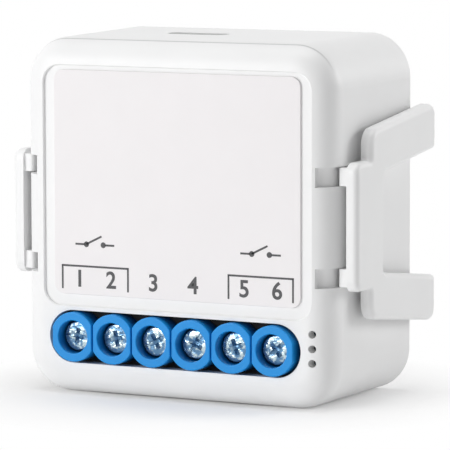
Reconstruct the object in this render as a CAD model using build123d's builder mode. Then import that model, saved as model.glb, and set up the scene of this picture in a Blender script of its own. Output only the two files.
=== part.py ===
from build123d import *
from math import acos, degrees
import os

# A garage door controller: a small moulded box that stands on its wire side.
# X runs to the right, Y to the back, Z up. The origin is the middle of the flat
# base, half way through the depth of the case. All sizes are in millimetres.

# Case
case_width = 40.0
case_height = 41.0
case_depth = 20.0
corner_radius = 5.0
side_draft = 0.35
front_edge_radius = 3.0
wall = 1.5
inner_edge_radius = 1.0
overrun = 1.0
base_trim = 0.005

front_y = -case_depth / 2
back_y = case_depth / 2
inner_front_y = front_y + wall
middle_z = case_height / 2

# Label and its recess
label_side_margin = 4.3
label_top_margin = 3.85
label_bottom_z = 11.5
label_shift = 0.3
label_radius = 1.2
label_thickness = 0.25
label_margin = 1.3
label_top_gap = 0.45
label_sink = 0.05
label_edge_radius = 0.1
recess_radius = 2.0
recess_edge = 0.12

# Terminal row
pole_count = 6
poles_per_block = 2
pole_pitch = 5.08
screw_z = 6.65
window_height = 6.05
window_end_gap = 0.5
ring_radius = 2.85
ring_flat_gap = 0.18
ring_end_reach = 2.65
ring_proud = 0.65
ring_edge_radius = 0.12
ring_corner_radius = 0.4
bore_radius = 1.9
block_gap = 0.06
shoulder_gap = 0.7
block_height = 9.8
block_floor_gap = 0.1
chamber_wall = 0.95
sheet_thickness = 0.3
sheet_margin = 0.9
sheet_gap = 0.1
sheet_radius = 3.0

# Board
board_thickness = 1.2
board_gap = 0.8
board_margin = 1.7
board_bottom_gap = 0.4
board_top_gap = 1.2

# Screws, cages and contact bars
head_radius = 1.7
head_thickness = 1.4
head_sink = 1.2
shank_radius = 1.25
screw_gap = 0.15
running_gap = 0.05
head_edge_radius = 0.3
cross_length = 2.3
cross_width = 0.55
cross_depth = 0.8
cage_width = 3.9
cage_height = 4.0
cage_side_wall = 0.5
cage_front_wall = 1.2
cage_back_wall = 0.8
cage_travel = 2.25
cage_gap = 0.1
bar_gap = 0.2
bar_thickness = 0.8
bar_width = 2.7
web_thickness = 2.9
wire_gap = 2.6
leg_width = 1.0
leg_thickness = 0.6
leg_proud = 1.2
leg_hole_radius = 0.65

# Wire entries in the base
entry_width = 3.0
entry_margin = 0.2
entry_chamfer = 0.4

# Three small holes beside the terminals
small_hole_count = 3
small_hole_radius = 0.44
small_hole_pitch = 1.62
small_hole_inset = 2.25
small_hole_lift = 0.45

# Clips and the notches that carry them
clip_gap = 0.65
clip_thickness = 1.4
clip_front = 2.0
clip_plate_height = 14.3
clip_plate_radius = 1.2
clip_edge_radius = 0.65
wing_front = 5.7
wing_start_z = 10.5
wing_end_z = 12.6
wing_corner_radius = 1.9
wing_tip = 22.7
tip_radius = 1.3
slot_front = 9.0
slot_start_z = 5.6
slot_end_z = 7.3
slot_radius = 0.8
tooth_length = 0.3
tooth_height = 2.0
tooth_reach = 0.25
inner_corner_radius = 0.3
notch_near_z = 4.5
notch_height = 2.2
notch_depth = 0.65
notch_start_inset = 1.95
lug_gap = 0.1
lug_nose = 1.1
lug_nose_radius = 0.3
pivot_inset = 1.1
pivot_front = 4.8
knuckle_radius = 0.75
knuckle_gap = 0.15
pin_radius = 0.45
pin_length = 0.9
pin_end_gap = 0.2
boss_depth = 1.2
boss_margin = 1.0

# Rear cover
cover_thickness = 1.6
cover_gap = 0.1
cover_ledge = 0.6
hook_width = 4.0
hook_thickness = 1.1
hook_length = 4.6
hook_barb = 0.5
hook_barb_height = 1.4
hook_wall_gap = 0.15
hook_pocket_gap = 0.15
hook_end_margin = 11.0

# Posts that hold the board
post_radius = 1.25
post_side_margin = 4.8
post_low_gap = 2.2
post_top_margin = 4.6
peg_radius = 0.6
peg_gap = 0.05
peg_clearance = 0.4

# Pairing button and its switch
button_x = -2.8
button_board_gap = 2.1
button_length = 7.6
button_width = 2.2
button_gap = 0.1
button_sink = 0.03
button_flange = 0.6
button_flange_thickness = 0.8
button_rest_gap = 0.05
stem_radius = 0.8
stem_length = 0.8
button_edge_radius = 0.2
switch_width = 6.0
switch_height = 3.6
plunger_radius = 0.9
plunger_length = 1.6
plunger_proud = 0.9
plunger_gap = 0.05
button_travel = 0.4

# Electronics: sizes of the bodies on the board
board_corner_radius = 1.5
relay_width = 10.0
relay_height = 18.0
relay_front_gap = 0.5
bulk_radius = 4.0
can_edge_radius = 0.4
output_radius = 2.5
output_depth = 8.0
safety_width = 4.0
safety_height = 9.0
safety_depth = 8.0
opto_width = 4.6
opto_height = 6.4
opto_depth = 3.5
rectifier_width = 4.7
rectifier_height = 3.9
rectifier_depth = 2.4
chip_width = 3.9
chip_height = 4.9
chip_depth = 1.5
radio_width = 16.0
radio_height = 13.0
radio_depth = 0.8
shield_width = 12.0
shield_height = 8.6
shield_depth = 1.7
shield_drop = 1.4
led_width = 1.2
led_height = 2.4
led_depth = 1.1
fuse_radius = 1.5
fuse_length = 7.4
varistor_radius = 3.5
varistor_thickness = 3.0
core_width = 10.2
core_height = 4.8
core_depth = 9.0
core_yoke = 1.8
core_leg = 2.6
core_window = 2.2
bobbin_height = 9.0
bobbin_gap = 0.05

# Places on the board, as shares of its half width to the right of the middle, and of
# its height above the terminal blocks
relay_share = (-0.67, 0.48)
bulk_share = (0.0, 0.235)
output_share = (-0.1, 0.565)
fuse_share = (-0.07, 0.745)
safety_share = (0.31, 0.75)
opto_share = (0.67, 0.83)
rectifier_share = (-0.48, 0.25)
chip_share = (0.42, 0.32)
radio_share = (-0.12, 0.66)
varistor_share = (0.68, 0.6)
core_share = (0.62, 0.32)

os.makedirs("parts", exist_ok=True)


def half_width(y):
    """Half of the case's outer width at depth y: the sides draw in towards the front."""
    return case_width / 2 - side_draft * (back_y - y) / case_depth


def top_z(y):
    """Height of the case's outer top at depth y; the base has no draft."""
    return case_height - side_draft * (back_y - y) / case_depth


def front_plane(y):
    """A plane that faces the front, with X to the right and Z up, at depth y."""
    return Plane.XZ.offset(-y)


def case_outline(y, inset):
    """The outline of the case at depth y, drawn in by inset on every side."""
    width = 2 * (half_width(y) - inset)
    height = top_z(y) + base_trim - 2 * inset
    with BuildSketch(front_plane(y)) as outline:
        with Locations((0, (top_z(y) - base_trim) / 2)):
            RectangleRounded(width, height, corner_radius - inset)
    return outline.sketch


def save(part, name):
    """Name one piece and write it out."""
    part.label = name
    export_step(part, f"parts/{name}.step")


# Terminal row, worked out from the front of the case backwards
pole_places = [(index - (pole_count - 1) / 2) * pole_pitch for index in range(pole_count)]
ring_front_y = front_y - ring_proud
shoulder_y = inner_front_y + shoulder_gap
head_front_y = ring_front_y + head_sink
head_back_y = head_front_y + head_thickness
chamber_front_y = head_back_y + web_thickness
cage_front_y = chamber_front_y + cage_gap + cage_travel
bar_front_y = cage_front_y + cage_front_wall + bar_gap
bar_back_y = bar_front_y + bar_thickness
cage_back_y = bar_back_y + wire_gap + cage_back_wall
board_front_y = cage_back_y + board_gap
board_back_y = board_front_y + board_thickness
block_bottom_z = wall + block_floor_gap
block_top_z = block_bottom_z + block_height
chamber_bottom_z = block_bottom_z + chamber_wall
chamber_top_z = block_top_z - chamber_wall
window_width = (pole_count - 1) * pole_pitch + 2 * (ring_radius + window_end_gap)
entry_y = bar_back_y + wire_gap / 2

# Clip pivots
pivot_y = front_y + pivot_front
pivot_x = case_width / 2 - pivot_inset
notch_start_x = half_width(front_y) - notch_start_inset
clip_inner_x = case_width / 2 + clip_gap
lug_height = notch_height - 2 * lug_gap
seat_radius = knuckle_radius + knuckle_gap
bore_depth = pin_length + pin_end_gap - lug_gap

# Cover, hooks and posts
cover_front_y = back_y - cover_thickness
hook_inner_y = cover_front_y - hook_length
hook_outer_x = half_width(board_back_y) - wall - hook_wall_gap
hook_heights = [hook_end_margin, case_height - hook_end_margin]
post_x = case_width / 2 - post_side_margin
post_low_z = block_top_z + post_low_gap
post_high_z = case_height - post_top_margin
post_places = [(side * post_x, z) for side in (-1, 1) for z in (post_low_z, post_high_z)]

# Board and label
board_half_width = half_width(board_front_y) - wall - board_margin
board_top_z = top_z(board_front_y) - wall - board_top_gap
board_bottom_z = wall + board_bottom_gap
label_width = case_width - 2 * label_side_margin
label_height = case_height - label_bottom_z - label_top_margin
recess_bottom_z = label_bottom_z - label_margin
recess_height = label_margin + label_height + label_top_gap
small_hole_x = half_width(front_y) - small_hole_inset
relay_depth = board_front_y - inner_front_y - relay_front_gap

# Button
button_y = board_front_y - button_board_gap
button_top_z = top_z(button_y) - button_sink
flange_top_z = top_z(button_y - button_width) - wall - button_rest_gap


def notch_profile():
    """Plan of the shallow channel that runs round the front edge under a lug."""
    floor_radius = front_edge_radius - notch_depth
    centre = (half_width(front_y) - front_edge_radius, front_y + front_edge_radius)
    start_angle = -degrees(acos((notch_start_x - centre[0]) / floor_radius))
    outer_x = case_width / 2 + overrun
    with BuildSketch() as profile:
        with BuildLine():
            floor = CenterArc(centre, floor_radius, start_angle, -start_angle)
            Polyline(
                floor @ 1,
                (half_width(pivot_y) - notch_depth, pivot_y),
                (outer_x, pivot_y),
                (outer_x, front_y - overrun),
                (notch_start_x, front_y - overrun),
                floor @ 0,
            )
        make_face()
    return profile.sketch


def clip_notches():
    """What the case gives up for the lugs and pins of the right clip."""
    with BuildPart() as notches:
        for way in (-1, 1):
            near_z = middle_z + way * notch_near_z
            # channel round the front edge
            channel = Plane.XY.offset(near_z) * notch_profile()
            extrude(channel, amount=way * notch_height)
            # round seat of the knuckle, open to the side
            with BuildSketch(Plane.XY.offset(near_z)) as seat:
                with Locations((pivot_x, pivot_y)):
                    Circle(seat_radius)
                    Rectangle(
                        case_width / 2 - pivot_x + overrun,
                        2 * seat_radius,
                        align=(Align.MIN, Align.CENTER),
                    )
            extrude(amount=way * notch_height)
            # bore of the pivot pin, towards the middle
            with BuildSketch(Plane.XY.offset(near_z)) as bore:
                with Locations((pivot_x, pivot_y)):
                    Circle(pin_radius + running_gap)
            extrude(amount=-way * bore_depth)
    return notches.part


def pivot_bosses():
    """Thicker wall behind the seats and bores of the right clip."""
    inner_x = pivot_x - seat_radius - boss_depth
    outer_x = half_width(front_y) - 3 * wall / 4
    low_z = notch_near_z - bore_depth - boss_margin
    high_z = notch_near_z + notch_height + boss_margin
    with BuildPart() as bosses:
        for way in (-1, 1):
            with BuildSketch(front_plane(inner_front_y - wall / 4)) as boss:
                with Locations(((inner_x + outer_x) / 2, middle_z + way * (low_z + high_z) / 2)):
                    Rectangle(outer_x - inner_x, high_z - low_z)
            extrude(amount=-(pivot_y + seat_radius + boss_margin - inner_front_y + wall / 4))
    return bosses.part


# Front shell: an open tub, wide at the back, with a rounded front edge.
with BuildPart() as front_shell:
    loft(sections=[case_outline(back_y, 0), case_outline(front_y, 0)], ruled=True)
    front_face = front_shell.faces().sort_by(Axis.Y)[0]
    fillet(front_face.edges(), front_edge_radius)
    split(bisect_by=Plane.XY, keep=Keep.TOP)
    # cavity, and the step that the rear cover seats on
    with BuildPart(mode=Mode.PRIVATE) as cavity:
        loft(sections=[case_outline(back_y, wall), case_outline(inner_front_y, wall)], ruled=True)
        fillet(cavity.faces().sort_by(Axis.Y)[0].edges(), inner_edge_radius)
    add(cavity.part, mode=Mode.SUBTRACT)
    step_inset = wall - cover_ledge
    loft(
        sections=[case_outline(back_y, step_inset), case_outline(cover_front_y, step_inset)],
        ruled=True,
        mode=Mode.SUBTRACT,
    )
    # bosses and posts inside
    add(pivot_bosses())
    add(mirror(pivot_bosses(), about=Plane.YZ, mode=Mode.PRIVATE))
    with BuildSketch(front_plane(inner_front_y)) as posts:
        with Locations(*post_places):
            Circle(post_radius)
    extrude(amount=-(board_front_y - inner_front_y))
    with BuildSketch(front_plane(board_front_y)) as pegs:
        with Locations(*post_places):
            Circle(peg_radius)
    extrude(amount=-board_thickness)
    # notches on both front vertical edges
    add(clip_notches(), mode=Mode.SUBTRACT)
    add(mirror(clip_notches(), about=Plane.YZ, mode=Mode.PRIVATE), mode=Mode.SUBTRACT)
    # window of the terminal row
    with BuildSketch(front_plane(front_y - overrun)) as window:
        with Locations((0, screw_z)):
            SlotOverall(window_width, window_height)
    extrude(amount=-(wall + 2 * overrun), mode=Mode.SUBTRACT)
    # recess round the label plate
    with BuildSketch(front_plane(front_y - overrun)) as recess:
        with Locations((label_shift, recess_bottom_z + recess_height / 2)):
            RectangleRounded(label_width + 2 * label_margin, recess_height, recess_radius)
    extrude(amount=-(overrun + label_sink + label_thickness), mode=Mode.SUBTRACT)
    # broken edge of the recess
    with BuildSketch(front_plane(front_y)) as recess_mouth:
        with Locations((label_shift, recess_bottom_z + recess_height / 2)):
            RectangleRounded(
                label_width + 2 * (label_margin + recess_edge),
                recess_height + 2 * recess_edge,
                recess_radius + recess_edge,
            )
    extrude(amount=-recess_edge, taper=45, mode=Mode.SUBTRACT)
    # three small holes beside the terminals
    with BuildSketch(front_plane(front_y - overrun)) as small_holes:
        with Locations((small_hole_x, screw_z + small_hole_lift)):
            with GridLocations(0, small_hole_pitch, 1, small_hole_count):
                Circle(small_hole_radius)
    extrude(amount=-(2 * overrun + wall + inner_edge_radius), mode=Mode.SUBTRACT)
    # opening of the pairing button in the top
    with BuildSketch(Plane.XY.offset(case_height + overrun)) as button_opening:
        with Locations((button_x, button_y)):
            SlotOverall(button_length + 2 * button_gap, button_width + 2 * button_gap)
    extrude(amount=-(wall + 2 * overrun), mode=Mode.SUBTRACT)
    # wire entries in the base
    with BuildSketch(Plane.XY.offset(-overrun)) as entries:
        with Locations(*[(x, entry_y) for x in pole_places]):
            Rectangle(entry_width + 2 * entry_margin, wire_gap + 2 * entry_margin)
    extrude(amount=wall + 2 * overrun, mode=Mode.SUBTRACT)
    base_face = front_shell.faces().filter_by(Plane.XY).sort_by(Axis.Z)[0]
    entry_edges = [edge for wire in base_face.inner_wires() for edge in wire.edges()]
    chamfer(entry_edges, entry_chamfer)
    # blind pockets that the cover's hooks snap into
    for side in (-1, 1):
        with BuildSketch(front_plane(hook_inner_y + hook_barb_height + hook_pocket_gap)) as pockets:
            with Locations(*[(side * hook_outer_x, z) for z in hook_heights]):
                Rectangle(
                    2 * (hook_barb + hook_pocket_gap),
                    hook_width + 2 * hook_pocket_gap,
                )
        extrude(amount=hook_barb_height + 2 * hook_pocket_gap, mode=Mode.SUBTRACT)
save(front_shell.part, "front_shell")

# Rear cover: a flat plate in the shell's back, with four snap hooks and four posts.
with BuildPart() as rear_cover:
    cover_inset = wall - cover_ledge + cover_gap
    loft(
        sections=[case_outline(back_y, cover_inset), case_outline(cover_front_y, cover_inset)],
        ruled=True,
    )
    for z in hook_heights:
        with BuildSketch(Plane.XY.offset(z - hook_width / 2)) as hooks:
            with BuildLine():
                Polyline(
                    (hook_outer_x, cover_front_y + cover_thickness / 2),
                    (hook_outer_x, hook_inner_y + hook_barb_height),
                    (hook_outer_x + hook_barb, hook_inner_y + hook_barb_height),
                    (hook_outer_x + hook_barb, hook_inner_y + hook_barb_height / 2),
                    (hook_outer_x, hook_inner_y),
                    (hook_outer_x - hook_thickness, hook_inner_y),
                    (hook_outer_x - hook_thickness, cover_front_y + cover_thickness / 2),
                    close=True,
                )
            make_face()
            mirror(about=Plane.YZ)
        extrude(amount=hook_width)
    with BuildSketch(front_plane(cover_front_y)) as cover_posts:
        with Locations(*post_places):
            Circle(post_radius)
    extrude(amount=cover_front_y - board_back_y)
    with BuildSketch(front_plane(board_back_y)) as peg_holes:
        with Locations(*post_places):
            Circle(peg_radius + peg_gap)
    extrude(amount=-peg_clearance, mode=Mode.SUBTRACT)
save(rear_cover.part, "rear_cover")

# Label plate: thin, with rounded corners, glued to the floor of its recess.
with BuildPart() as label_plate:
    with BuildSketch(front_plane(front_y + label_sink + label_thickness)) as label_outline:
        with Locations((label_shift, label_bottom_z + label_height / 2)):
            RectangleRounded(label_width, label_height, label_radius)
    extrude(amount=label_thickness)
    fillet(label_plate.faces().sort_by(Axis.Y)[0].edges(), label_edge_radius)
save(label_plate.part, "label_plate")

# Insulating sheet: glued behind the window, with one scalloped opening for the rings.
with BuildPart() as insulating_sheet:
    with BuildSketch(front_plane(inner_front_y)) as sheet_outline:
        with Locations((0, screw_z)):
            RectangleRounded(
                window_width + 2 * sheet_margin, window_height + 2 * sheet_margin, sheet_radius
            )
        with Locations(*[(x, screw_z) for x in pole_places]):
            Circle(ring_radius + sheet_gap, mode=Mode.SUBTRACT)
    extrude(amount=-sheet_thickness)
save(insulating_sheet.part, "insulating_sheet")


def ring_outline(x):
    """The round collar of the pole at x, cut flat towards its neighbours and at the row's ends."""
    flat = (pole_pitch - ring_flat_gap) / 2
    left = flat if x > pole_places[0] else ring_end_reach
    right = flat if x < pole_places[-1] else ring_end_reach
    with BuildSketch(front_plane(shoulder_y)) as ring:
        with Locations((x, screw_z)):
            Circle(ring_radius)
        with Locations((x + (right - left) / 2, screw_z)):
            Rectangle(left + right, 4 * ring_radius, mode=Mode.INTERSECT)
        fillet(ring.edges().filter_by(GeomType.LINE).vertices(), ring_corner_radius)
    return ring.sketch


def terminal_block(places):
    """A moulded housing for the poles at places: collars, screw bores and chambers."""
    middle_x = sum(places) / len(places)
    with BuildPart() as block:
        with BuildSketch(front_plane(shoulder_y)) as body:
            with Locations((middle_x, (block_bottom_z + block_top_z) / 2)):
                Rectangle(len(places) * pole_pitch - block_gap, block_height)
        extrude(amount=-(board_front_y - shoulder_y))
        for x in places:
            extrude(ring_outline(x), amount=shoulder_y - ring_front_y)
        for x in places:
            with Locations(front_plane(ring_front_y) * Location((x, screw_z))):
                Hole(bore_radius, head_back_y + running_gap - ring_front_y)
                Hole(shank_radius + screw_gap, chamber_front_y + overrun - ring_front_y)
        fillet(block.faces().sort_by(Axis.Y)[0 : len(places)].edges(), ring_edge_radius)
        # chambers, open to the board
        with BuildSketch(front_plane(board_front_y)) as chambers:
            with Locations(*[(x, (chamber_bottom_z + chamber_top_z) / 2) for x in places]):
                Rectangle(cage_width + 2 * cage_gap, chamber_top_z - chamber_bottom_z)
        extrude(amount=board_front_y - chamber_front_y, mode=Mode.SUBTRACT)
        # wire entries
        with BuildSketch(Plane.XY.offset(block_bottom_z)) as block_entries:
            with Locations(*[(x, entry_y) for x in places]):
                Rectangle(entry_width, wire_gap)
        extrude(amount=chamber_wall, mode=Mode.SUBTRACT)
    return block.part


for index in range(0, pole_count, poles_per_block):
    places = pole_places[index : index + poles_per_block]
    save(terminal_block(places), f"terminal_block_{index // poles_per_block + 1}")


def terminal_screw(x):
    """A cross-recess screw: its head lies in the collar, its tip bears on the contact bar."""
    with BuildPart() as screw:
        with BuildSketch(front_plane(head_back_y)) as head:
            with Locations((x, screw_z)):
                Circle(head_radius)
        extrude(amount=head_thickness)
        fillet(screw.faces().sort_by(Axis.Y)[0].edges(), head_edge_radius)
        with BuildSketch(front_plane(head_back_y)) as shank:
            with Locations((x, screw_z)):
                Circle(shank_radius)
        extrude(amount=-(bar_front_y - running_gap - head_back_y))
        with BuildSketch(front_plane(head_front_y)) as cross:
            with Locations(Location((x, screw_z), 45)):
                Rectangle(cross_length, cross_width)
                Rectangle(cross_width, cross_length)
        extrude(amount=-cross_depth, mode=Mode.SUBTRACT)
    return screw.part


def clamp_cage(x):
    """A frame round the contact bar, threaded on the screw: the wire lies in it."""
    with BuildPart() as cage:
        with BuildSketch(front_plane(cage_back_y)) as cage_outline:
            with Locations((x, screw_z)):
                Rectangle(cage_width, cage_height)
        extrude(amount=cage_back_y - cage_front_y)
        with BuildSketch(Plane.XY.offset(screw_z - cage_height / 2)) as cage_window:
            with Locations((x, cage_back_y - cage_back_wall)):
                Rectangle(
                    cage_width - 2 * cage_side_wall,
                    cage_back_y - cage_back_wall - cage_front_y - cage_front_wall,
                    align=(Align.CENTER, Align.MAX),
                )
        extrude(amount=cage_height, mode=Mode.SUBTRACT)
        with Locations(front_plane(cage_front_y) * Location((x, screw_z))):
            Hole(shank_radius + running_gap, cage_front_wall)
    return cage.part


for index, x in enumerate(pole_places):
    save(terminal_screw(x), f"terminal_screw_{index + 1}")
    save(clamp_cage(x), f"clamp_cage_{index + 1}")

# Contact bars: one flat bar through each cage, with a leg that goes through the board.
with BuildPart() as contact_bars:
    for x in pole_places:
        with BuildSketch(front_plane(bar_back_y)) as bar:
            with Locations((x, chamber_top_z)):
                Rectangle(
                    bar_width, chamber_top_z - chamber_bottom_z - bar_gap,
                    align=(Align.CENTER, Align.MAX),
                )
        extrude(amount=bar_thickness)
        with BuildSketch(front_plane(bar_back_y)) as leg:
            with Locations((x, chamber_top_z)):
                Rectangle(leg_width, leg_thickness, align=(Align.CENTER, Align.MAX))
        extrude(amount=-(board_back_y + leg_proud - bar_back_y))
save(contact_bars.part, "contact_bars")

# Main board: carries the terminals and the electronics, held on the four posts.
with BuildPart() as main_board:
    with BuildSketch(front_plane(board_back_y)) as board_outline:
        with Locations((0, (board_bottom_z + board_top_z) / 2)):
            RectangleRounded(
                2 * board_half_width,
                board_top_z - board_bottom_z,
                board_corner_radius,
            )
        with Locations(*post_places):
            Circle(peg_radius + peg_gap, mode=Mode.SUBTRACT)
        with Locations(*[(x, chamber_top_z - leg_thickness / 2) for x in pole_places]):
            Circle(leg_hole_radius, mode=Mode.SUBTRACT)
    extrude(amount=board_thickness)
save(main_board.part, "main_board")


def board_place(share):
    """The place on the board, across and up, that a pair of shares gives."""
    return share[0] * board_half_width, block_top_z + share[1] * (board_top_z - block_top_z)


def board_box(place, width, height, depth, behind=False):
    """A box that stands on the board, on its front or behind it."""
    with BuildPart() as box:
        with BuildSketch(front_plane(board_back_y if behind else board_front_y)) as foot:
            with Locations(place):
                Rectangle(width, height)
        extrude(amount=-depth if behind else depth)
    return box.part


def board_can(place, radius, depth):
    """An upright round can on the front of the board, with a rolled edge."""
    with BuildPart() as can:
        with BuildSketch(front_plane(board_front_y)) as foot:
            with Locations(place):
                Circle(radius)
        extrude(amount=depth)
        fillet(can.faces().sort_by(Axis.Y)[0].edges(), can_edge_radius)
    return can.part


relay_place = board_place(relay_share)
rectifier_place = board_place(rectifier_share)
chip_place = board_place(chip_share)
radio_place = board_place(radio_share)
safety_place = board_place(safety_share)
opto_place = board_place(opto_share)
led_place = (board_half_width - led_width / 2, screw_z + small_hole_lift)
save(board_box(relay_place, relay_width, relay_height, relay_depth), "relay")
save(board_can(board_place(bulk_share), bulk_radius, relay_depth), "bulk_capacitor")
save(board_can(board_place(output_share), output_radius, output_depth), "output_capacitor")
save(board_box(safety_place, safety_width, safety_height, safety_depth), "safety_capacitor")
save(board_box(opto_place, opto_width, opto_height, opto_depth), "opto_coupler")
save(
    board_box(rectifier_place, rectifier_width, rectifier_height, rectifier_depth, True),
    "bridge_rectifier",
)
save(board_box(chip_place, chip_width, chip_height, chip_depth, True), "power_chip")
save(board_box(radio_place, radio_width, radio_height, radio_depth, True), "radio_board")
save(board_box(led_place, led_width, led_height, led_depth), "status_led")

# Shield: a pressed lid on the radio board.
with BuildPart() as radio_shield:
    with BuildSketch(front_plane(board_back_y + radio_depth)) as shield_foot:
        with Locations((radio_place[0], radio_place[1] - shield_drop)):
            Rectangle(shield_width, shield_height)
    extrude(amount=-shield_depth)
save(radio_shield.part, "radio_shield")

# Fuse resistor: a short rod that lies on the board along X.
fuse_x, fuse_z = board_place(fuse_share)
with BuildPart() as fuse_resistor:
    with BuildSketch(Plane.YZ.offset(fuse_x - fuse_length / 2)) as fuse_section:
        with Locations((board_front_y - fuse_radius, fuse_z)):
            Circle(fuse_radius)
    extrude(amount=fuse_length)
    fillet(fuse_resistor.edges().filter_by(GeomType.CIRCLE), can_edge_radius)
save(fuse_resistor.part, "fuse_resistor")

# Varistor: a coated disc that stands on edge.
varistor_x, varistor_z = board_place(varistor_share)
with BuildPart() as varistor:
    with BuildSketch(Plane.XY.offset(varistor_z - varistor_thickness / 2)) as disc:
        with Locations((varistor_x, board_front_y - varistor_radius)):
            Circle(varistor_radius)
    extrude(amount=varistor_thickness)
    fillet(varistor.edges().filter_by(GeomType.CIRCLE), can_edge_radius)
save(varistor.part, "varistor")

# Transformer: a closed ferrite frame with a middle leg, and a flanged bobbin on that leg.
core_x, core_z = board_place(core_share)
with BuildPart() as transformer_core:
    with BuildSketch(Plane.XY.offset(core_z - core_height / 2)) as core_section:
        with Locations((core_x, board_front_y)):
            Rectangle(core_width, core_depth, align=(Align.CENTER, Align.MAX))
        with Locations((core_x, board_front_y - core_depth / 2)):
            with GridLocations(core_leg + core_window, 0, 2, 1):
                Rectangle(core_window, core_depth - 2 * core_yoke, mode=Mode.SUBTRACT)
    extrude(amount=core_height)
save(transformer_core.part, "transformer_core")

with BuildPart() as transformer_bobbin:
    spool_depth = core_depth - 2 * core_yoke - 2 * bobbin_gap
    spool_back_y = board_front_y - core_yoke - bobbin_gap
    with BuildSketch(front_plane(spool_back_y)) as spool:
        with Locations((core_x, core_z)):
            Rectangle(core_leg + 2 * core_window - 2 * bobbin_gap, bobbin_height)
    extrude(amount=spool_depth)
    with BuildSketch(front_plane(spool_back_y)) as spool_hole:
        with Locations((core_x, core_z)):
            Rectangle(core_leg + 2 * bobbin_gap, core_height + 2 * bobbin_gap)
    extrude(amount=spool_depth, mode=Mode.SUBTRACT)
save(transformer_bobbin.part, "transformer_bobbin")

# Tact switch: lies on the board with its plunger up; the plunger moves with the button.
plunger_top_z = flange_top_z - button_flange_thickness - stem_length
switch_top_z = plunger_top_z - plunger_proud
with BuildPart() as tact_switch:
    with BuildSketch(front_plane(board_front_y)) as switch_foot:
        with Locations((button_x, switch_top_z)):
            Rectangle(switch_width, switch_height, align=(Align.CENTER, Align.MAX))
    extrude(amount=board_front_y - button_y + switch_width / 4)
    with Locations(Plane.XY.offset(switch_top_z) * Location((button_x, button_y))):
        Hole(plunger_radius + plunger_gap, plunger_length + button_travel)
save(tact_switch.part, "tact_switch")

with BuildPart() as switch_plunger:
    with BuildSketch(Plane.XY.offset(plunger_top_z)) as plunger_section:
        with Locations((button_x, button_y)):
            Circle(plunger_radius)
    extrude(amount=-(plunger_proud + plunger_length - button_travel))
save(switch_plunger.part, "switch_plunger")

# Pairing button: an oval cap in the top, with a flange under the wall and a stem.
with BuildPart() as pairing_button:
    with BuildSketch(Plane.XY.offset(flange_top_z)) as cap:
        with Locations((button_x, button_y)):
            SlotOverall(button_length, button_width)
    extrude(amount=button_top_z - flange_top_z)
    fillet(pairing_button.faces().sort_by(Axis.Z)[-1].edges(), button_edge_radius)
    with BuildSketch(Plane.XY.offset(flange_top_z)) as flange:
        with Locations((button_x, button_y)):
            SlotOverall(button_length + 2 * button_flange, button_width + 2 * button_flange)
    extrude(amount=-button_flange_thickness)
    with BuildSketch(Plane.XY.offset(flange_top_z - button_flange_thickness)) as stem:
        with Locations((button_x, button_y)):
            Circle(stem_radius)
    extrude(amount=-stem_length)
save(pairing_button.part, "pairing_button")

# Right clip: a springy plate on two lugs, with two wings that run past the back.
with BuildPart() as right_clip:
    clip_plane = Plane(origin=(clip_inner_x, front_y, middle_z), x_dir=(0, 1, 0), z_dir=(1, 0, 0))
    plate_half = clip_plate_height / 2
    with BuildSketch(clip_plane) as clip_outline:
        with BuildLine():
            FilletPolyline(
                (slot_front, 0),
                (slot_front, slot_start_z),
                (wing_tip, slot_end_z),
                (wing_tip, wing_end_z),
                (wing_front, wing_start_z),
                (wing_front, plate_half),
                (clip_front, plate_half),
                (clip_front, 0),
                radius=[
                    slot_radius,
                    inner_corner_radius,
                    tip_radius,
                    wing_corner_radius,
                    inner_corner_radius,
                    clip_plate_radius,
                ],
            )
            mirror(about=Plane.XZ)
        make_face()
    extrude(amount=clip_thickness)
    outer_face = right_clip.faces().sort_by(Axis.X)[-1]
    fillet(outer_face.edges(), clip_edge_radius)
    for way in (-1, 1):
        # tooth on the inner half of the tip
        with BuildSketch(clip_plane) as tooth:
            with Locations((wing_tip, way * (slot_end_z + inner_corner_radius + tooth_height / 2))):
                Rectangle(2 * tooth_length, tooth_height)
        extrude(amount=clip_thickness / 2)
        extrude(tooth.sketch, amount=-tooth_reach)
        # lug: a nose in the channel and a knuckle in the seat
        near_z = middle_z + way * (notch_near_z + lug_gap)
        with BuildSketch(Plane.XY.offset(near_z)) as lug:
            with BuildLine():
                FilletPolyline(
                    (clip_inner_x + clip_thickness / 2, front_y + clip_front + lug_nose_radius),
                    (clip_inner_x - lug_nose, front_y + clip_front + lug_nose_radius),
                    (clip_inner_x - lug_nose, pivot_y + knuckle_radius),
                    (clip_inner_x + clip_thickness / 2, pivot_y + knuckle_radius),
                    radius=lug_nose_radius,
                    close=True,
                )
            make_face()
            with Locations((pivot_x, pivot_y)):
                Circle(knuckle_radius)
                Rectangle(
                    clip_inner_x - pivot_x, 2 * knuckle_radius, align=(Align.MIN, Align.CENTER)
                )
        extrude(amount=way * lug_height)
        with BuildSketch(Plane.XY.offset(near_z)) as pin:
            with Locations((pivot_x, pivot_y)):
                Circle(pin_radius)
        extrude(amount=-way * pin_length)
save(right_clip.part, "right_clip")
left_clip = mirror(right_clip.part, about=Plane.YZ)
save(left_clip, "left_clip")
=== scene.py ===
import math

import bmesh
import bpy
from bpy.props import FloatProperty, FloatVectorProperty, PointerProperty
from mathutils import Matrix, Vector


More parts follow.
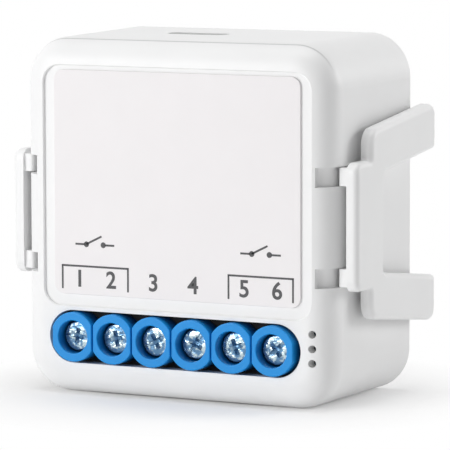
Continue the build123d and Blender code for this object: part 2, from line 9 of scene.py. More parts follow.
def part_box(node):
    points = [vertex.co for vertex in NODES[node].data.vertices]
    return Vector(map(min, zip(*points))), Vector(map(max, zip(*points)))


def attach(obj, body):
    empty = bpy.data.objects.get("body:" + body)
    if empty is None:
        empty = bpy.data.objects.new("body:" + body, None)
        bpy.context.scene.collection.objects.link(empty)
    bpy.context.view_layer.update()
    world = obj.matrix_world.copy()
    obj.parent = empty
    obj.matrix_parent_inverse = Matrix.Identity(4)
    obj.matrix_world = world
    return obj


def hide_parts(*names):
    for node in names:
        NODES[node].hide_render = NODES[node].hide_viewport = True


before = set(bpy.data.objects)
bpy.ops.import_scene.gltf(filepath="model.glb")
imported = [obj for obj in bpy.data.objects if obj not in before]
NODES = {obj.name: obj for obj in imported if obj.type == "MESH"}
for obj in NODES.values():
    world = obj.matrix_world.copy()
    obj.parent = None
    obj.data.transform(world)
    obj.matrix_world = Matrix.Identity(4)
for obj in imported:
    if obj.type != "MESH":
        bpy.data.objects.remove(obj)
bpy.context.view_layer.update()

bl_info = {
    "name": "Garage door controller",
    "version": (1, 0, 0),
    "blender": (4, 5, 0),
    "location": "View3D > Sidebar > Controller",
    "description": "Dresses the controller's case, clamps, clips and insides",
    "category": "Object",
}

POLES = 6
BLOCKS = 3
BLACK = (0.0, 0.0, 0.0)

# Each node inside the case: its finish's name, colour and roughness
BOARD_PARTS = (
    (("main_board", "radio_board"), "board_green", (0.01, 0.16, 0.06), 0.42),
    (
        (
            "relay", "bulk_capacitor", "output_capacitor", "bridge_rectifier",
            "power_chip", "opto_coupler", "tact_switch", "switch_plunger",
        ),
        "part_black", (0.03, 0.03, 0.034), 0.4,
    ),
    (("fuse_resistor",), "rod_grey", (0.22, 0.30, 0.20), 0.42),
    (("varistor",), "varistor_blue", (0.04, 0.10, 0.42), 0.42),
    (("safety_capacitor",), "box_yellow", (0.72, 0.58, 0.10), 0.42),
    (("transformer_core",), "ferrite_grey", (0.09, 0.09, 0.10), 0.6),
    (("transformer_bobbin",), "winding_yellow", (0.66, 0.50, 0.12), 0.42),
    (("status_led",), "led_clear", (0.82, 0.85, 0.78), 0.2),
)

# Near black, as painted shade for the inside of the case seen through the gaps round the clamps
SHEET_SHADE_BLACK = (0.004, 0.004, 0.005)
CAGE_COLOUR = (0.55, 0.55, 0.55)
BRASS_COLOUR = (0.80, 0.62, 0.32)
TIN_COLOUR = (0.62, 0.62, 0.60)

# Patterns, in bumps to the metre, the span that their values mostly take, and the strength
# and depth in metres of the reliefs
CLOUD_SCALE = 180.0
METAL_CLOUD_SCALE = 900.0
INK_PATCH_SCALE = 2600.0
DENT_SCALE = 1500.0
FLOOR_CLOUD_SCALE = 6.0
PATTERN_SPAN = (0.3, 0.7)
GRAIN_STRENGTH = 0.35
SCRATCH_STRENGTH = 0.25
SCRATCH_DEPTH = 0.00001

# The painted shade of a fine crease round the front of the shell: its place behind the
# front, its width, its darkness, and the two depths below the top between which it fades out
CREASE_SHADE_SETBACK = 0.002
CREASE_SHADE_WIDTH = 0.0004
CREASE_SHADE_DARKNESS = 0.4
CREASE_SHADE_FADE = (0.0035, 0.0008)

# The painted shade in the collars' bores: where it starts and ends, and what it leaves of the
# colour
BORE_SHADE = (0.0002, 0.0018, 0.35)

# The screws: head and shank, the lie of their slots in degrees, what the cross keeps of its
# size at its bottom, the dents, and a painted reflection of the blue housings that comes on in
# the dents and between two depths under the face, where the plating is also duller
HEAD_DEPTH = 0.0014
HEAD_SEGMENTS = 72
RIM_STEPS = 4
SHANK_RADIUS = 0.00125
SHARP_EDGE = 32
SCREW_TURNS = (-8.0, 10.0, 28.0, 62.0, 20.0, 40.0)
CROSS_TAPER = (0.1, 0.4, 1.0)
SLOT_OVERRUN = 1.2
DENT_STRENGTH = 0.8
DENT_DEPTH = 0.00012
BLUE_REFLECTION_COLOUR = (0.008, 0.15, 0.34)
BLUE_REFLECTION_SHARE = 0.8
BLUE_REFLECTION_DEPTHS = (0.00005, 0.0004)
BLUE_REFLECTION_IN_DENTS = (0.57, 0.45)
BLUE_REFLECTION_METALLIC = 0.4

# The print on the label plate, in metres: brackets as left, right, bottom and top,
# signs and digits by their middles
PRINT_RISE = 0.00002
DIGIT_BOLD = 0.00005
DIGIT_SHARE_OF_LINE = 0.7
SIGN_REACH = 0.0011
SIGN_DOT_RADIUS = 0.00033
SIGN_DOT_SEGMENTS = 28
SIGN_LEAD_PLACE = 1.75 * SIGN_REACH
SIGN_LEAD_LENGTH = 1.1 * SIGN_REACH
SIGN_BLADE_SHIFT = 0.1 * SIGN_REACH
SIGN_BLADE_LENGTH = 2.0 * SIGN_REACH
SIGN_BLADE_LIFT = 0.0005
SIGN_BLADE_TURN = -26
BRACKETS = ((-0.01434, -0.00581, 0.0121, 0.01477), (0.00703, 0.01508, 0.0121, 0.01477))
SIGNS = ((-0.0101, 0.0173), (0.01105, 0.0173))
DIGITS = (
    ("1", -0.0121, 0.01325), ("2", -0.0080, 0.01325), ("3", -0.00254, 0.01325),
    ("4", 0.00254, 0.01325), ("5", 0.0090, 0.01325), ("6", 0.0131, 0.01325),
)

# The stage: each lamp with its direction from the object, its width and its power, the floor
# with the distances between which it turns white, and the camera
LAMP_TARGET = (0.0, 0.0, 0.02)
LAMP_DISTANCE = 0.5
LAMPS = (
    ("key_lamp", (-0.52, -0.78, 0.18), 0.26, 1.45),
    ("side_lamp", (0.74, 0.62, 0.30), 0.18, 0.80),
    ("top_lamp", (0.0, 0.0, 1.0), 0.30, 1.20),
)
FLOOR_HALF_WIDTH = 3.0
FLOOR_DROP = 0.00003
FLOOR_FADE = (0.012, 0.034)
CAMERA_PLACE = (0.194580, -0.366373, 0.064423)
CAMERA_AHEAD = (-0.46372, 0.87929, -0.10867)
CAMERA_TURN = 27.806
CAMERA_ROLL = -0.135
CAMERA_CLIP = (0.01, 10.0)


def new_material(name):
    """A node material with its shader, and its object coordinates."""
    material = bpy.data.materials.new(name)
    material.use_nodes = True
    tree = material.node_tree
    shader = tree.nodes["Principled BSDF"]
    coords = tree.nodes.new("ShaderNodeTexCoord")
    return material, tree, shader, coords.outputs["Object"]


def noise(tree, vector, scale, detail=2.0, roughness=0.5):
    """A noise pattern at a scale of so many bumps to the metre."""
    node = tree.nodes.new("ShaderNodeTexNoise")
    node.inputs["Scale"].default_value = scale
    node.inputs["Detail"].default_value = detail
    node.inputs["Roughness"].default_value = roughness
    tree.links.new(vector, node.inputs["Vector"])
    return node.outputs["Fac"]


def ramp(tree, fac, low, high, to_low, to_high):
    """Maps a value from one range to another."""
    node = tree.nodes.new("ShaderNodeMapRange")
    node.inputs["From Min"].default_value = low
    node.inputs["From Max"].default_value = high
    node.inputs["To Min"].default_value = to_low
    node.inputs["To Max"].default_value = to_high
    tree.links.new(fac, node.inputs["Value"])
    return node.outputs["Result"]


def combine(tree, operation, first, second):
    """Two values multiplied, or the larger of them."""
    node = tree.nodes.new("ShaderNodeMath")
    node.operation = operation
    tree.links.new(first, node.inputs[0])
    tree.links.new(second, node.inputs[1])
    return node.outputs["Value"]


def blend_colours(tree, fac, first, second):
    """A mix of two colours, or of a socket and a colour."""
    node = tree.nodes.new("ShaderNodeMix")
    node.data_type = "RGBA"
    tree.links.new(fac, node.inputs["Factor"])
    for socket, value in ((node.inputs["A"], first), (node.inputs["B"], second)):
        if isinstance(value, bpy.types.NodeSocket):
            tree.links.new(value, socket)
        else:
            socket.default_value = (*value[:3], 1.0)
    return node.outputs["Result"]


def bump(tree, shader, height, strength, distance):
    """A bump on the shader from a height pattern."""
    node = tree.nodes.new("ShaderNodeBump")
    node.inputs["Strength"].default_value = strength
    node.inputs["Distance"].default_value = distance
    tree.links.new(height, node.inputs["Height"])
    tree.links.new(node.outputs["Normal"], shader.inputs["Normal"])


def shade(colour, factor):
    """A colour made lighter or darker."""
    return tuple(min(1.0, part * factor) for part in colour[:3])


def moulded_plastic(name, colour, roughness=0.42, grain=9000.0, depth=0.000012, mottle=0.02):
    """Moulded plastic: a fine spark-eroded grain and a faint unevenness of colour."""
    material, tree, shader, vector = new_material(name)
    clouds = noise(tree, vector, CLOUD_SCALE, 3.0)
    tint = blend_colours(tree, clouds, shade(colour, 1 - mottle), shade(colour, 1 + mottle))
    tree.links.new(tint, shader.inputs["Base Color"])
    fine = noise(tree, vector, grain, 3.0, 0.6)
    rough = ramp(tree, fine, *PATTERN_SPAN, roughness - 0.05, roughness + 0.07)
    tree.links.new(rough, shader.inputs["Roughness"])
    bump(tree, shader, fine, GRAIN_STRENGTH, depth)
    return material


def place_of(material):
    """The object coordinates that a material reads."""
    nodes = material.node_tree.nodes
    return next(node for node in nodes if node.type == "TEX_COORD").outputs["Object"]


def axes_of(material):
    """The object coordinates of a material as its X, Y and Z."""
    tree = material.node_tree
    split = tree.nodes.new("ShaderNodeSeparateXYZ")
    tree.links.new(place_of(material), split.inputs["Vector"])
    return split.outputs


def tint_towards(material, fac, colour):
    """Turns a material's colour towards another one, as far as a value says."""
    tree = material.node_tree
    base = tree.nodes["Principled BSDF"].inputs["Base Color"]
    tree.links.new(blend_colours(tree, fac, base.links[0].from_socket, colour), base)


def set_gloss(material, level):
    """Sets how strongly a plastic mirrors."""
    shader = material.node_tree.nodes["Principled BSDF"]
    shader.inputs["Specular IOR Level"].default_value = level


def paint_shade_inward(material, from_y, to_y, share):
    """Paints shade into a plastic's colour along Y, from full at one depth to a share of it at
    another.
    """
    along_y = axes_of(material)["Y"]
    fac = ramp(material.node_tree, along_y, from_y, to_y, 0.0, 1.0 - share)
    tint_towards(material, fac, BLACK)


def draw_crease_shade(material, line_y, low_z, high_z):
    """Paints the shade of a fine crease: a faint dark line round a plastic at one depth, that
    fades out from high to low.
    """
    tree = material.node_tree
    axes = axes_of(material)
    half_width = CREASE_SHADE_WIDTH / 2
    near = ramp(tree, axes["Y"], line_y - half_width, line_y, 0.0, 1.0)
    far = ramp(tree, axes["Y"], line_y, line_y + half_width, 1.0, 0.0)
    fade = ramp(tree, axes["Z"], low_z, high_z, 0.0, CREASE_SHADE_DARKNESS)
    line = combine(tree, "MULTIPLY", near, far)
    tint_towards(material, combine(tree, "MULTIPLY", line, fade), BLACK)


def plated_metal(name, colour, roughness=0.22, scratch_scale=(2500.0, 400.0, 2500.0)):
    """Plated metal: bright, with fine drawn scratches and a slight cloudiness."""
    material, tree, shader, vector = new_material(name)
    shader.inputs["Metallic"].default_value = 1.0
    mapping = tree.nodes.new("ShaderNodeMapping")
    mapping.inputs["Scale"].default_value = scratch_scale
    tree.links.new(vector, mapping.inputs["Vector"])
    scratches = noise(tree, mapping.outputs["Vector"], 1.0, 4.0, 0.7)
    clouds = noise(tree, vector, METAL_CLOUD_SCALE, 3.0)
    tint = blend_colours(tree, clouds, shade(colour, 0.86), shade(colour, 1.08))
    tree.links.new(tint, shader.inputs["Base Color"])
    rough = ramp(tree, scratches, *PATTERN_SPAN, roughness - 0.06, roughness + 0.12)
    tree.links.new(rough, shader.inputs["Roughness"])
    bump(tree, shader, scratches, SCRATCH_STRENGTH, SCRATCH_DEPTH)
    return material


def dress(node_names, material):
    """Gives CAD nodes their finish by their material slots."""
    for name in node_names:
        mesh = NODES[name].data
        if not mesh.materials:
            mesh.materials.append(material)
        for index in range(len(mesh.materials)):
            mesh.materials[index] = material


def add_object(name, data):
    """Puts an object in the scene, at the origin."""
    piece = bpy.data.objects.new(name, data)
    bpy.context.scene.collection.objects.link(piece)
    return piece


def finished_mesh(piece):
    """A new mesh of an object as its modifiers or its text make it."""
    bpy.context.view_layer.update()
    graph = bpy.context.evaluated_depsgraph_get()
    return bpy.data.meshes.new_from_object(piece.evaluated_get(graph))


def object_from(build, name, material=None, body=None):
    """Makes an object of a bmesh, gives it a material and lets it ride on a body."""
    mesh = bpy.data.meshes.new(name)
    build.to_mesh(mesh)
    build.free()
    piece = add_object(name, mesh)
    if material:
        mesh.materials.append(material)
    if body:
        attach(piece, body)
    return piece


def combine_solids(piece, operation, other):
    """Joins another object to one, or cuts it out, for good, and drops the other."""
    step = piece.modifiers.new("step", "BOOLEAN")
    step.operation = operation
    step.solver = "EXACT"
    step.object = other
    solid = finished_mesh(piece)
    piece.modifiers.clear()
    old = piece.data
    piece.data = solid
    bpy.data.meshes.remove(old)
    bpy.data.objects.remove(other)


def smooth_by_angle(piece, degrees):
    """Smooth shading, with creases sharper than the angle kept."""
    build = bmesh.new()
    build.from_mesh(piece.data)
    for face in build.faces:
        face.smooth = True
    for edge in build.edges:
        if len(edge.link_faces) == 2:
            edge.smooth = edge.calc_face_angle(0.0) < math.radians(degrees)
    build.to_mesh(piece.data)
    build.free()


class CaseSettings(bpy.types.PropertyGroup):
    plastic: FloatVectorProperty(
        name="Case plastic", description="Colour of the case, the cover and the clips",
        subtype="COLOR", size=3, min=0.0, max=1.0, default=(0.872, 0.873, 0.874),
    )
    button: FloatVectorProperty(
        name="Button", description="Colour of the pairing button",
        subtype="COLOR", size=3, min=0.0, max=1.0, default=(0.30, 0.30, 0.305),
    )
    label: FloatVectorProperty(
        name="Label", description="Colour of the label plate",
        subtype="COLOR", size=3, min=0.0, max=1.0, default=(0.862, 0.838, 0.846),
    )
    ink: FloatVectorProperty(
        name="Print", description="Colour of the print on the label plate",
        subtype="COLOR", size=3, min=0.0, max=1.0, default=(0.07, 0.07, 0.074),
    )
    line: FloatProperty(
        name="Print line", description="Width of the printed lines",
        subtype="DISTANCE", unit="LENGTH", default=0.00022,
    )
    digit: FloatProperty(
        name="Digit height", description="Height of the printed digits",
        subtype="DISTANCE", unit="LENGTH", default=0.0019,
    )


class TerminalSettings(bpy.types.PropertyGroup):
    housing: FloatVectorProperty(
        name="Clamp housing", description="Colour of the clamp housings",
        subtype="COLOR", size=3, min=0.0, max=1.0, default=(0.006, 0.275, 0.72),
    )
    plating: FloatVectorProperty(
        name="Screw plating", description="Colour of the plated screws",
        subtype="COLOR", size=3, min=0.0, max=1.0, default=(0.54, 0.66, 0.70),
    )


class ScrewSettings(bpy.types.PropertyGroup):
    rim: FloatProperty(
        name="Rim bevel", description="Rounding of the screw head's rim",
        subtype="DISTANCE", unit="LENGTH", default=0.00022,
    )
    slot_width: FloatProperty(
        name="Slot width", description="Width of the slot across the head",
        subtype="DISTANCE", unit="LENGTH", default=0.00034,
    )
    slot_depth: FloatProperty(
        name="Slot depth", description="Depth of the slot across the head",
        subtype="DISTANCE", unit="LENGTH", default=0.00022,
    )
    cross_reach: FloatProperty(
        name="Cross reach",
        description="Reach from the middle of the tapered cutter that makes the cross",
        subtype="DISTANCE", unit="LENGTH", default=0.0017,
    )
    cross_width: FloatProperty(
        name="Cross width",
        description="Width of the arms of the tapered cutter that makes the cross",
        subtype="DISTANCE", unit="LENGTH", default=0.0008,
    )
    cross_depth: FloatProperty(
        name="Cross depth", description="Depth of the cross recess",
        subtype="DISTANCE", unit="LENGTH", default=0.0006,
    )


class StageSettings(bpy.types.PropertyGroup):
    floor: FloatVectorProperty(
        name="Floor", description="Colour of the floor",
        subtype="COLOR", size=3, min=0.0, max=1.0, default=(0.97, 0.97, 0.97),
    )
    sky: FloatProperty(
        name="Surrounding light", description="Strength of the even light from all round",
        min=0.0, max=2.0, default=0.21,
    )
    lens: FloatProperty(
        name="Lens", description="Focal length of the camera in millimetres",
        min=50.0, max=500.0, default=291.43,
    )


class CONTROLLER_OT_case(bpy.types.Operator):
    """Finish the case, the cover, the clips and the button"""

    bl_idname = "controller.case"
    bl_label = "Case and clips"

    def execute(self, context):
        case = context.scene.controller_case
        white = moulded_plastic("case_white", tuple(case.plastic))
        dress(["rear_cover", "left_clip", "right_clip"], white)
        shell = moulded_plastic("shell_white", tuple(case.plastic))
        low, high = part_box("front_shell")
        fade_low, fade_high = (high.z - drop for drop in CREASE_SHADE_FADE)
        # Painted shade: a faint dark crease line round the front of the shell, darkest on top
        draw_crease_shade(shell, low.y + CREASE_SHADE_SETBACK, fade_low, fade_high)
        dress(["front_shell"], shell)
        dress(["pairing_button"], moulded_plastic("button_grey", tuple(case.button)))
        dress(["label_plate"], moulded_plastic("label_white", tuple(case.label), 0.55, 14000.0))
        # Painted shade: the insulating sheet is made near black, standing in for the dark inside
        # the case seen through the gaps round the clamps
        sheet = moulded_plastic("sheet_black", SHEET_SHADE_BLACK, 0.6, 6000.0)
        set_gloss(sheet, 0.2)
        dress(["insulating_sheet"], sheet)
        return {"FINISHED"}


class CONTROLLER_OT_print(bpy.types.Operator):
    """Print the clamp numbers, their brackets and two contact signs on the label plate"""

    bl_idname = "controller.print"
    bl_label = "Label print"

    def execute(self, context):
        case = context.scene.controller_case
        self.print_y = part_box("label_plate")[0].y - PRINT_RISE / 2
        self.ink = self.printed_ink(tuple(case.ink))
        self.line = case.line
        build = bmesh.new()
        for left, right, bottom, top in BRACKETS:
            self.bracket(build, left, right, bottom, top)
        for x, z in SIGNS:
            self.contact_sign(build, x, z)
        object_from(build, "label_lines", self.ink, "case")
        for digit, x, z in DIGITS:
            self.digit(digit, x, z, case.digit)
        return {"FINISHED"}

    def printed_ink(self, colour):
        """Matt ink that is a little uneven."""
        material, tree, shader, vector = new_material("print_ink")
        patches = noise(tree, vector, INK_PATCH_SCALE, 3.0, 0.6)
        tint = blend_colours(tree, patches, shade(colour, 0.8), shade(colour, 1.35))
        tree.links.new(tint, shader.inputs["Base Color"])
        shader.inputs["Roughness"].default_value = 0.6
        return material

    def bar(self, build, x, z, width, height, turn=0.0):
        """A flat printed bar, centred on x and z."""
        made = bmesh.ops.create_cube(build, size=1.0)["verts"]
        bmesh.ops.scale(build, vec=(width, PRINT_RISE, height), verts=made)
        bmesh.ops.rotate(
            build, cent=(0, 0, 0), matrix=Matrix.Rotation(turn, 3, "Y"), verts=made
        )
        bmesh.ops.translate(build, vec=(x, self.print_y, z), verts=made)

    def bracket(self, build, left, right, bottom, top):
        """A bracket over a pair of clamp numbers: a line above them and one at each side."""
        self.bar(build, (left + right) / 2, top, right - left + self.line, self.line)
        for x in (left, right):
            self.bar(build, x, (bottom + top) / 2, self.line, top - bottom)

    def contact_sign(self, build, x, z):
        """An open contact: two round ends, and a blade that lifts from one of them."""
        for side in (-1, 1):
            dot = bmesh.ops.create_cone(
                build, cap_ends=True, segments=SIGN_DOT_SEGMENTS, radius1=SIGN_DOT_RADIUS,
                radius2=SIGN_DOT_RADIUS, depth=PRINT_RISE,
            )["verts"]
            bmesh.ops.rotate(
                build, cent=(0, 0, 0), matrix=Matrix.Rotation(math.pi / 2, 3, "X"), verts=dot
            )
            place = (x + side * SIGN_REACH, self.print_y, z)
            bmesh.ops.translate(build, vec=place, verts=dot)
            self.bar(build, x + side * SIGN_LEAD_PLACE, z, SIGN_LEAD_LENGTH, self.line)
        self.bar(
            build, x - SIGN_BLADE_SHIFT, z + SIGN_BLADE_LIFT, SIGN_BLADE_LENGTH, self.line,
            math.radians(SIGN_BLADE_TURN),
        )

    def digit(self, text, x, z, height):
        """One printed digit, centred on x and z."""
        curve = bpy.data.curves.new(f"digit_{text}", "FONT")
        curve.body = text
        curve.align_x = "CENTER"
        curve.align_y = "CENTER"
        curve.size = height / DIGIT_SHARE_OF_LINE
        curve.extrude = PRINT_RISE / 2
        curve.offset = DIGIT_BOLD
        holder = add_object(f"digit_{text}", curve)
        mesh = finished_mesh(holder)
        bpy.data.objects.remove(holder)
        stand = Matrix.Rotation(math.pi / 2, 4, "X")
        mesh.transform(Matrix.Translation((x, self.print_y, z)) @ stand)
        mesh.materials.clear()
        mesh.materials.append(self.ink)
        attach(add_object(f"digit_{text}", mesh), "case")


class CONTROLLER_OT_screws(bpy.types.Operator):
    """Make the clamp screws: a bevelled head with a slot and a cross recess, and a shank"""

    bl_idname = "controller.screws"
    bl_label = "Clamp screws"

    def execute(self, context):
        plating = tuple(context.scene.controller_terminals.plating)
        material = plated_metal("screw_plating_painted_reflection", plating, 0.14)
        self.dent_and_paint_reflection(material)
        for index, turn in enumerate(SCREW_TURNS):
            name = f"terminal_screw_{index + 1}"
            self.screw(context.scene.controller_screws, name, math.radians(turn), material)
        return {"FINISHED"}

    def dent_and_paint_reflection(self, material):
        """Shallow dents in the plating, and a painted reflection of the blue housings in its
        dents and in the recess.
        """
        tree = material.node_tree
        fine = next(node for node in tree.nodes if node.type == "BUMP")
        dents = tree.nodes.new("ShaderNodeBump")
        dents.inputs["Strength"].default_value = DENT_STRENGTH
        dents.inputs["Distance"].default_value = DENT_DEPTH
        pattern = noise(tree, place_of(material), DENT_SCALE)
        tree.links.new(pattern, dents.inputs["Height"])
        tree.links.new(dents.outputs["Normal"], fine.inputs["Normal"])
        # Painted reflection: the housings' blue, painted into the dents and deep in the recess,
        # with the plating made less metallic there
        face_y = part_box("terminal_screw_1")[0].y
        start_y, full_y = (face_y + depth for depth in BLUE_REFLECTION_DEPTHS)
        deep = ramp(tree, axes_of(material)["Y"], start_y, full_y, 0.0, BLUE_REFLECTION_SHARE)
        low = ramp(tree, pattern, *BLUE_REFLECTION_IN_DENTS, 0.0, BLUE_REFLECTION_SHARE)
        painted_reflection = combine(tree, "MAXIMUM", deep, low)
        tint_towards(material, painted_reflection, BLUE_REFLECTION_COLOUR)
        dull = ramp(tree, painted_reflection, 0.0, BLUE_REFLECTION_SHARE, 1.0, BLUE_REFLECTION_METALLIC)
        tree.links.new(dull, tree.nodes["Principled BSDF"].inputs["Metallic"])

    def screw(self, sizes, name, turn, material):
        """One screw in the place of its CAD solid, turned about its own axis."""
        low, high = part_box(name)
        middle_x = (low.x + high.x) / 2
        middle_z = (low.z + high.z) / 2
        radius = (high.x - low.x) / 2
        build = bmesh.new()
        bmesh.ops.create_cone(
            build, cap_ends=True, segments=HEAD_SEGMENTS, radius1=radius, radius2=radius,
            depth=HEAD_DEPTH,
        )
        top = max(build.faces, key=lambda face: face.calc_center_median().z)
        bmesh.ops.bevel(
            build, geom=list(top.edges), offset=sizes.rim, segments=RIM_STEPS, profile=0.5,
            affect="EDGES", material=-1,
        )
        shank_length = (high.y - low.y) - HEAD_DEPTH
        bottom = min(build.faces, key=lambda face: face.calc_center_median().z)
        bmesh.ops.inset_region(build, faces=[bottom], thickness=radius - SHANK_RADIUS)
        grown = bmesh.ops.extrude_face_region(build, geom=[bottom])["geom"]
        moved = [part for part in grown if isinstance(part, bmesh.types.BMVert)]
        bmesh.ops.translate(build, vec=(0, 0, -shank_length), verts=moved)
        if bottom.is_valid:
            bmesh.ops.delete(build, geom=[bottom], context="FACES_ONLY")
        bmesh.ops.recalc_face_normals(build, faces=build.faces)
        piece = object_from(build, f"{name}_finished", material)
        combine_solids(piece, "DIFFERENCE", self.recess(sizes, radius))
        smooth_by_angle(piece, SHARP_EDGE)
        lay = Matrix.Rotation(math.pi / 2, 4, "X") @ Matrix.Rotation(turn, 4, "Z")
        place = Matrix.Translation((middle_x, low.y + HEAD_DEPTH / 2, middle_z))
        piece.data.transform(place @ lay)
        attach(piece, name)
        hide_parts(name)

    def recess(self, sizes, radius):
        """The cutter for the slot and the tapered cross, on the head's outer face."""
        build = bmesh.new()
        face_z = HEAD_DEPTH / 2
        slot = bmesh.ops.create_cube(build, size=1.0)["verts"]
        bmesh.ops.scale(
            build, vec=(SLOT_OVERRUN * 2 * radius, sizes.slot_width, 2 * sizes.slot_depth),
            verts=slot,
        )
        bmesh.ops.translate(build, vec=(0, 0, face_z), verts=slot)
        cutter = object_from(build, "slot_cutter")
        for quarter in (0, 1):
            arm = bmesh.new()
            made = bmesh.ops.create_cube(arm, size=1.0)["verts"]
            bmesh.ops.scale(
                arm, vec=(2 * sizes.cross_reach, sizes.cross_width, 2 * sizes.cross_depth),
                verts=made,
            )
            deep = [vert for vert in made if vert.co.z < 0]
            bmesh.ops.scale(arm, vec=CROSS_TAPER, verts=deep)
            bmesh.ops.rotate(
                arm, cent=(0, 0, 0), matrix=Matrix.Rotation(quarter * math.pi / 2, 3, "Z"),
                verts=made,
            )
            bmesh.ops.translate(arm, vec=(0, 0, face_z), verts=made)
            combine_solids(cutter, "UNION", object_from(arm, "cross_cutter"))
        return cutter


class CONTROLLER_OT_terminals(bpy.types.Operator):
    """Finish the clamp housings, cages and bars"""

    bl_idname = "controller.terminals"
    bl_label = "Screw clamps"

    def execute(self, context):
        clamps = context.scene.controller_terminals
        blue = moulded_plastic("clamp_blue", tuple(clamps.housing), 0.36, 11000.0, 0.00001, 0.05)
        set_gloss(blue, 0.3)
        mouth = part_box("terminal_block_1")[0].y
        # Painted shade: the blue turns darker deeper in the bores
        start, end, share = BORE_SHADE
        paint_shade_inward(blue, mouth + start, mouth + end, share)
        dress([f"terminal_block_{index + 1}" for index in range(BLOCKS)], blue)
        cages = plated_metal("cage_plating", CAGE_COLOUR, 0.35)
        dress([f"clamp_cage_{index + 1}" for index in range(POLES)], cages)
        dress(["contact_bars"], plated_metal("bar_brass", BRASS_COLOUR, 0.3))
        return {"FINISHED"}


class CONTROLLER_OT_insides(bpy.types.Operator):
    """Finish the board and what it carries"""

    bl_idname = "controller.insides"
    bl_label = "Board and parts"

    def execute(self, context):
        for nodes, name, colour, roughness in BOARD_PARTS:
            dress(nodes, moulded_plastic(name, colour, roughness))
        dress(["radio_shield"], plated_metal("shield_tin", TIN_COLOUR, 0.35))
        return {"FINISHED"}


def soft_lamp(name, heading, width, power):
    """A square area lamp in a direction from the object, turned to it."""
    lamp = bpy.data.lights.new(name, "AREA")
    lamp.shape = "RECTANGLE"
    lamp.size = width
    lamp.size_y = width
    lamp.energy = power
    holder = add_object(name, lamp)
    target = Vector(LAMP_TARGET)
    holder.location = target + Vector(heading).normalized() * LAMP_DISTANCE
    holder.rotation_euler = (target - holder.location).to_track_quat("-Z", "Y").to_euler()


def seen_rays(tree):
    """One for the rays that the camera, a mirror or clear plastic sends out, and else nought."""
    path = tree.nodes.new("ShaderNodeLightPath")
    seen = path.outputs["Is Camera Ray"]
    for kind in ("Is Glossy Ray", "Is Transmission Ray"):
        seen = combine(tree, "MAXIMUM", seen, path.outputs[kind])
    return seen


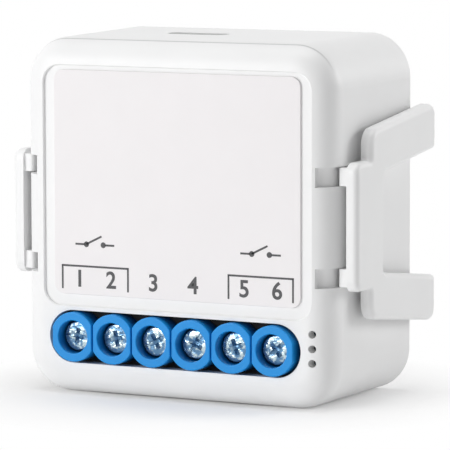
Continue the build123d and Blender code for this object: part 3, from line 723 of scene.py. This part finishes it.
class CONTROLLER_OT_stage(bpy.types.Operator):
    """Set up the floor, the surrounding light, the lamps and the camera"""

    bl_idname = "controller.stage"
    bl_label = "Stage"

    def execute(self, context):
        stage = context.scene.controller_stage
        self.floor(stage)
        self.world(context, stage)
        for name, heading, width, power in LAMPS:
            soft_lamp(name, heading, width, power)
        self.camera(context, stage)
        context.scene.view_settings.view_transform = "Standard"
        return {"FINISHED"}

    def floor(self, stage):
        """A wide pale floor that looks white to the camera away from the shadow."""
        build = bmesh.new()
        bmesh.ops.create_grid(build, x_segments=1, y_segments=1, size=FLOOR_HALF_WIDTH)
        bmesh.ops.translate(build, vec=(0, 0, -FLOOR_DROP), verts=build.verts)
        material, tree, shader, vector = new_material("floor_pale")
        clouds = noise(tree, vector, FLOOR_CLOUD_SCALE)
        tint = blend_colours(tree, clouds, shade(stage.floor, 0.995), shade(stage.floor, 1.005))
        tree.links.new(tint, shader.inputs["Base Color"])
        shader.inputs["Roughness"].default_value = 0.9
        self.fade_to_white(tree, shader, vector)
        object_from(build, "floor", material)

    def fade_to_white(self, tree, shader, vector):
        """Away from the object the camera and mirrors see the floor as plain white."""
        length = tree.nodes.new("ShaderNodeVectorMath")
        length.operation = "LENGTH"
        tree.links.new(vector, length.inputs[0])
        far = ramp(tree, length.outputs["Value"], *FLOOR_FADE, 0.0, 1.0)
        both = combine(tree, "MULTIPLY", far, seen_rays(tree))
        glow = tree.nodes.new("ShaderNodeEmission")
        mix = tree.nodes.new("ShaderNodeMixShader")
        tree.links.new(both, mix.inputs["Fac"])
        tree.links.new(shader.outputs["BSDF"], mix.inputs[1])
        tree.links.new(glow.outputs["Emission"], mix.inputs[2])
        tree.links.new(mix.outputs["Shader"], tree.nodes["Material Output"].inputs["Surface"])

    def world(self, context, stage):
        """An even pale surrounding that is white where the camera or a mirror sees it."""
        world = bpy.data.worlds.new("studio")
        context.scene.world = world
        world.use_nodes = True
        tree = world.node_tree
        background = tree.nodes["Background"]
        background.inputs["Color"].default_value = (1.0, 1.0, 1.0, 1.0)
        strength = ramp(tree, seen_rays(tree), 0.0, 1.0, stage.sky, 1.0)
        tree.links.new(strength, background.inputs["Strength"])

    def camera(self, context, stage):
        """The camera at the height, side and distance listed above, which the clamp row's pitch
        gave.
        """
        ahead = Vector(CAMERA_AHEAD).normalized()
        turn = math.radians(CAMERA_TURN)
        level = Vector((math.cos(turn), math.sin(turn), 0.0))
        level = (level - ahead * level.dot(ahead)).normalized()
        upright = level.cross(ahead)
        roll = math.radians(CAMERA_ROLL)
        right = level * math.cos(roll) + upright * math.sin(roll)
        up = upright * math.cos(roll) - level * math.sin(roll)
        data = bpy.data.cameras.new("camera")
        data.lens = stage.lens
        data.sensor_width = 36.0
        data.clip_start, data.clip_end = CAMERA_CLIP
        camera = add_object("camera", data)
        turned = Matrix((right, up, -ahead)).transposed().to_4x4()
        camera.matrix_world = Matrix.Translation(CAMERA_PLACE) @ turned
        context.scene.camera = camera


class CONTROLLER_PT_pieces(bpy.types.Panel):
    """The controller's sizes, colours and pieces"""

    bl_label = "Controller"
    bl_idname = "CONTROLLER_PT_pieces"
    bl_space_type = "VIEW_3D"
    bl_region_type = "UI"
    bl_category = "Controller"

    def draw(self, context):
        layout = self.layout
        for settings in (
            context.scene.controller_case,
            context.scene.controller_terminals,
            context.scene.controller_screws,
            context.scene.controller_stage,
        ):
            box = layout.box()
            for name in settings.bl_rna.properties.keys():
                if name not in {"rna_type", "name"}:
                    box.prop(settings, name)
        for operator in OPERATORS:
            layout.operator(operator.bl_idname)


SETTINGS = (CaseSettings, TerminalSettings, ScrewSettings, StageSettings)
OPERATORS = (
    CONTROLLER_OT_case,
    CONTROLLER_OT_print,
    CONTROLLER_OT_terminals,
    CONTROLLER_OT_screws,
    CONTROLLER_OT_insides,
    CONTROLLER_OT_stage,
)


def register():
    for cls in SETTINGS + OPERATORS + (CONTROLLER_PT_pieces,):
        bpy.utils.register_class(cls)
    bpy.types.Scene.controller_case = PointerProperty(type=CaseSettings)
    bpy.types.Scene.controller_terminals = PointerProperty(type=TerminalSettings)
    bpy.types.Scene.controller_screws = PointerProperty(type=ScrewSettings)
    bpy.types.Scene.controller_stage = PointerProperty(type=StageSettings)


def unregister():
    del bpy.types.Scene.controller_case
    del bpy.types.Scene.controller_terminals
    del bpy.types.Scene.controller_screws
    del bpy.types.Scene.controller_stage
    for cls in reversed(SETTINGS + OPERATORS + (CONTROLLER_PT_pieces,)):
        bpy.utils.unregister_class(cls)


def main():
    """Builds every piece in order."""
    register()
    bpy.ops.controller.case()
    bpy.ops.controller.print()
    bpy.ops.controller.terminals()
    bpy.ops.controller.screws()
    bpy.ops.controller.insides()
    bpy.ops.controller.stage()


if __name__ == "__main__":
    main()
